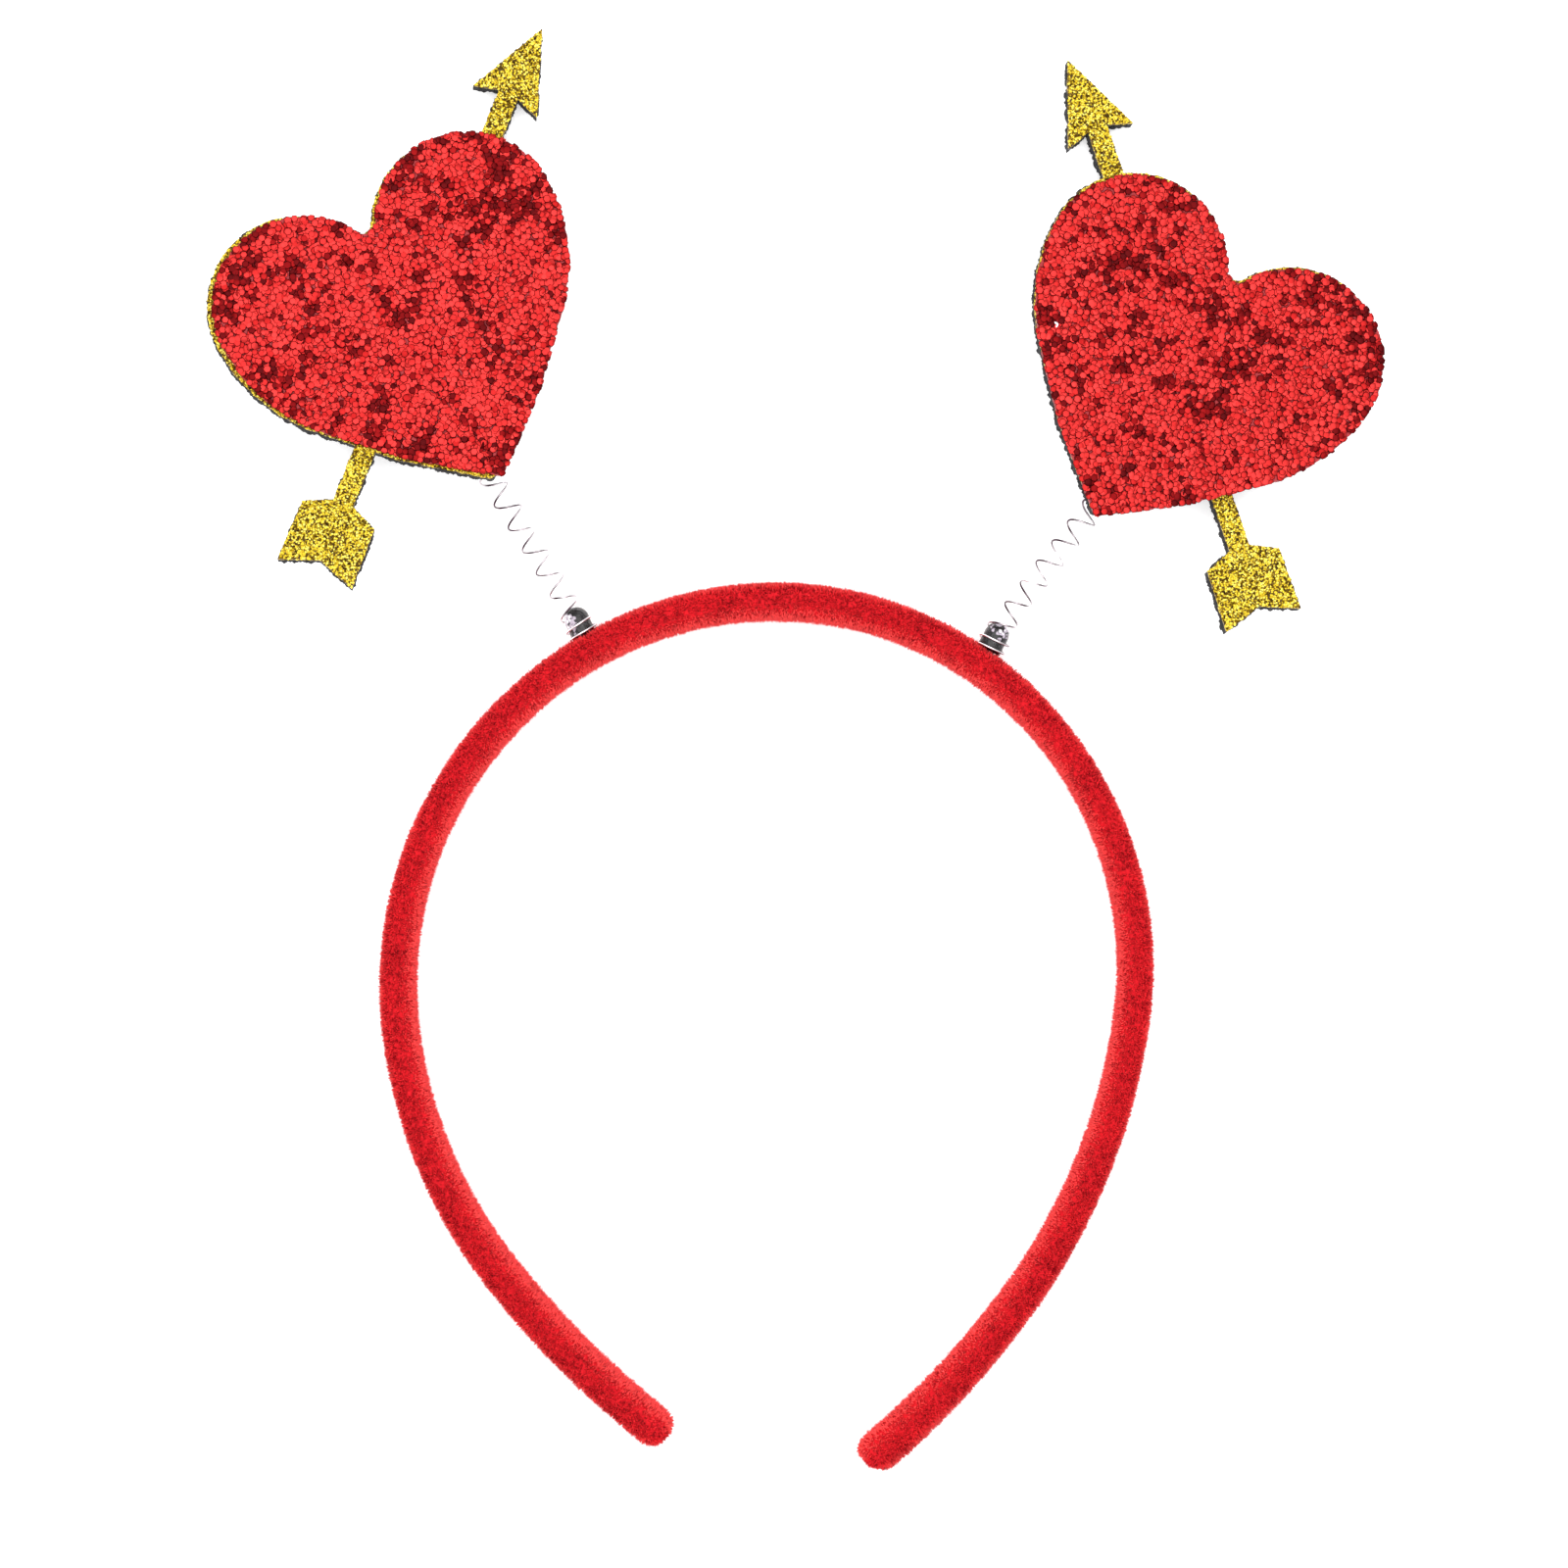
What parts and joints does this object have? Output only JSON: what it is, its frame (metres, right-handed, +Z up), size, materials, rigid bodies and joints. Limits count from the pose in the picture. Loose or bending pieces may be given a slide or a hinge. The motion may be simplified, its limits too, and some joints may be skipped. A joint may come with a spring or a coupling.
{
  "type": "heart headband",
  "caption": "C-shaped padded velour headband with glitter hearts pierced by arrows, carried on thin coil springs from domed plugs.",
  "frame": {"origin": "on the band's flattened underside, at the middle of its crown", "axes": "+Y from the band's ends to its crown and on to the hearts, +X to the side, +Z up from the surface it lies on"},
  "size_m": [0.1969, 0.2425, 0.0144],
  "materials": {
    "velour": "short brushed pile",
    "plug": "polished",
    "wire": "bright drawn wire",
    "black_foam": "matte closed-cell foam",
    "gold_glitter": "fine glitter",
    "red_glitter": "chunky hexagonal glitter"
  },
  "bodies": {
    "headband": {"band": "velour", "plug_left": "plug", "plug_right": "plug"},
    "left_spring": {"spring_left": "wire"},
    "left_heart": {"backing_left": "black_foam", "arrow_plate_left": "gold_glitter", "red_heart_left": "red_glitter"},
    "right_spring": {"spring_right": "wire"},
    "right_heart": {"backing_right": "black_foam", "arrow_plate_right": "gold_glitter", "red_heart_right": "red_glitter"}
  },
  "joints": [
    {"name": "left_sway", "type": "hinge", "parent": "headband", "child": "left_spring", "pos_m": [-0.03801, 0.00476, 0.00483], "axis": [0, 0, 1], "range_deg": [-25, 25], "stiffness_Nm_per_rad": 0.0023, "deforming": ["spring_left"]},
    {"name": "left_nod", "type": "hinge", "parent": "left_spring", "child": "left_heart", "pos_m": [-0.0436, 0.0138, 0.005], "axis": [0.8494, 0.5277, 0], "range_deg": [0, 35], "stiffness_Nm_per_rad": 0.0023, "deforming": ["spring_left"]},
    {"name": "right_sway", "type": "hinge", "parent": "headband", "child": "right_spring", "pos_m": [0.04189, 0.00122, 0.00496], "axis": [0, 0, 1], "range_deg": [-25, 25], "stiffness_Nm_per_rad": 0.0023, "deforming": ["spring_right"]},
    {"name": "right_nod", "type": "hinge", "parent": "right_spring", "child": "right_heart", "pos_m": [0.04805, 0.00918, 0.00512], "axis": [0.7866, -0.6174, 0], "range_deg": [0, 35], "stiffness_Nm_per_rad": 0.0023, "deforming": ["spring_right"]}
  ]
}
